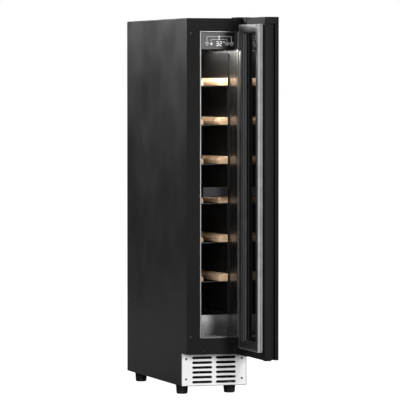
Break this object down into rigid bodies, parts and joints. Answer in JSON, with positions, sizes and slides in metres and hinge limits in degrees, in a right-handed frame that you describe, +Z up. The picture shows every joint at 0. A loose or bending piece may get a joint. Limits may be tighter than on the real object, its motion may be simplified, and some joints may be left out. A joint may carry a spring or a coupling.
{
  "type": "wine cooler",
  "caption": "Slim under-counter wine cooler, glass door open at a right angle, with beech bottle shelves, a touch panel and a slotted steel kick plate.",
  "frame": {"origin": "on the floor, under the middle of the whole object's box with the door open at a right angle", "axes": "+Z up, +Y towards the back, +X to the right as seen from the front"},
  "size_m": [0.148, 0.649, 0.8223],
  "materials": {
    "panel_black": "satin powder coat, fine texture",
    "frame_black": "satin black paint",
    "galvanised_steel": "dull zinc",
    "trim_silver": "satin",
    "liner_black": "high gloss, vacuum formed",
    "foam_insulation": "rigid foam",
    "fin_aluminium": "mill",
    "plain_plastic": "moulded",
    "control_glass": "gloss, black backed",
    "lamp_diffuser": "frosted",
    "kick_steel": "brushed across",
    "compressor_black": "gloss enamel",
    "coil_black": "black paint on steel tube",
    "beech": "planed beech, clear sealed",
    "shelf_steel": "black coated steel",
    "front_rail_grey": "satin",
    "door_black": "satin",
    "outer_glass_black": "tinted, gloss",
    "inner_glass_black": "tinted, gloss",
    "gasket_rubber": "soft vinyl, satin",
    "foot_rubber": "moulded"
  },
  "bodies": {
    "cabinet": {"left_side_panel": "panel_black", "right_side_panel": "panel_black", "top_panel": "panel_black", "front_frame": "frame_black", "hinge_bracket_top": "frame_black", "hinge_bracket_bottom": "frame_black", "back_panel": "galvanised_steel", "rear_grille": "galvanised_steel", "base_pan": "galvanised_steel", "opening_trim": "trim_silver", "inner_liner": "liner_black", "evaporator_cover": "liner_black", "left_shelf_rack": "liner_black", "right_shelf_rack": "liner_black", "insulation_foam": "foam_insulation", "evaporator_plate": "fin_aluminium", "circulation_fan_frame": "plain_plastic", "condenser_fan_shroud": "plain_plastic", "control_housing": "plain_plastic", "drip_tray": "plain_plastic", "power_board_box": "plain_plastic", "mains_inlet": "plain_plastic", "touch_panel": "control_glass", "lamp_lens": "lamp_diffuser", "kick_grille": "kick_steel", "compressor": "compressor_black", "condenser_coil": "coil_black"},
    "door": {"door_frame": "door_black", "outer_glass": "outer_glass_black", "inner_glass": "inner_glass_black", "glass_spacer": "plain_plastic", "door_gasket": "gasket_rubber", "finger_pull_profile": "door_black", "door_top_cap": "door_black", "door_bottom_cap": "door_black"},
    "shelf_1": {"shelf_1_left_rail": "beech", "shelf_1_right_rail": "beech", "shelf_1_ladder": "shelf_steel"},
    "shelf_2": {"shelf_2_left_rail": "beech", "shelf_2_right_rail": "beech", "shelf_2_ladder": "shelf_steel"},
    "shelf_3": {"shelf_3_left_rail": "beech", "shelf_3_right_rail": "beech", "shelf_3_ladder": "shelf_steel"},
    "shelf_4": {"shelf_4_left_rail": "beech", "shelf_4_right_rail": "beech", "shelf_4_ladder": "shelf_steel", "shelf_4_front_rail": "front_rail_grey"},
    "shelf_5": {"shelf_5_left_rail": "beech", "shelf_5_right_rail": "beech", "shelf_5_ladder": "shelf_steel"},
    "shelf_6": {"shelf_6_left_rail": "beech", "shelf_6_right_rail": "beech", "shelf_6_ladder": "shelf_steel"},
    "circulation_fan": {"circulation_fan_rotor": "plain_plastic"},
    "condenser_fan": {"condenser_fan_rotor": "plain_plastic"},
    "leg_front_left": {"foot_front_left": "foot_rubber"},
    "leg_front_right": {"foot_front_right": "foot_rubber"},
    "leg_rear_left": {"foot_rear_left": "foot_rubber"},
    "leg_rear_right": {"foot_rear_right": "foot_rubber"}
  },
  "joints": [
    {"name": "door_hinge", "type": "hinge", "parent": "cabinet", "child": "door", "pos_m": [0.0685, -0.182, 0.45], "axis": [0, 0, 1], "range_deg": [-90, 20]},
    {"name": "shelf_1_slide", "type": "slide", "parent": "cabinet", "child": "shelf_1", "axis": [0, -1, 0], "range_m": [0, 0.1]},
    {"name": "shelf_2_slide", "type": "slide", "parent": "cabinet", "child": "shelf_2", "axis": [0, -1, 0], "range_m": [0, 0.1]},
    {"name": "shelf_3_slide", "type": "slide", "parent": "cabinet", "child": "shelf_3", "axis": [0, -1, 0], "range_m": [0, 0.1]},
    {"name": "shelf_4_slide", "type": "slide", "parent": "cabinet", "child": "shelf_4", "axis": [0, -1, 0], "range_m": [0, 0.1]},
    {"name": "shelf_5_slide", "type": "slide", "parent": "cabinet", "child": "shelf_5", "axis": [0, -1, 0], "range_m": [0, 0.1]},
    {"name": "shelf_6_slide", "type": "slide", "parent": "cabinet", "child": "shelf_6", "axis": [0, -1, 0], "range_m": [0, 0.1]},
    {"name": "circulation_fan_spin", "type": "hinge", "parent": "cabinet", "child": "circulation_fan", "pos_m": [0, 0.26125, 0.64], "axis": [0, 1, 0], "continuous": true},
    {"name": "condenser_fan_spin", "type": "hinge", "parent": "cabinet", "child": "condenser_fan", "pos_m": [0, 0.0055, 0.07], "axis": [0, 1, 0], "continuous": true},
    {"name": "foot_front_left_height", "type": "slide", "parent": "cabinet", "child": "leg_front_left", "axis": [0, 0, -1], "range_m": [0, 0.02]},
    {"name": "foot_front_right_height", "type": "slide", "parent": "cabinet", "child": "leg_front_right", "axis": [0, 0, -1], "range_m": [0, 0.02]},
    {"name": "foot_rear_left_height", "type": "slide", "parent": "cabinet", "child": "leg_rear_left", "axis": [0, 0, -1], "range_m": [0, 0.02]},
    {"name": "foot_rear_right_height", "type": "slide", "parent": "cabinet", "child": "leg_rear_right", "axis": [0, 0, -1], "range_m": [0, 0.02]}
  ]
}
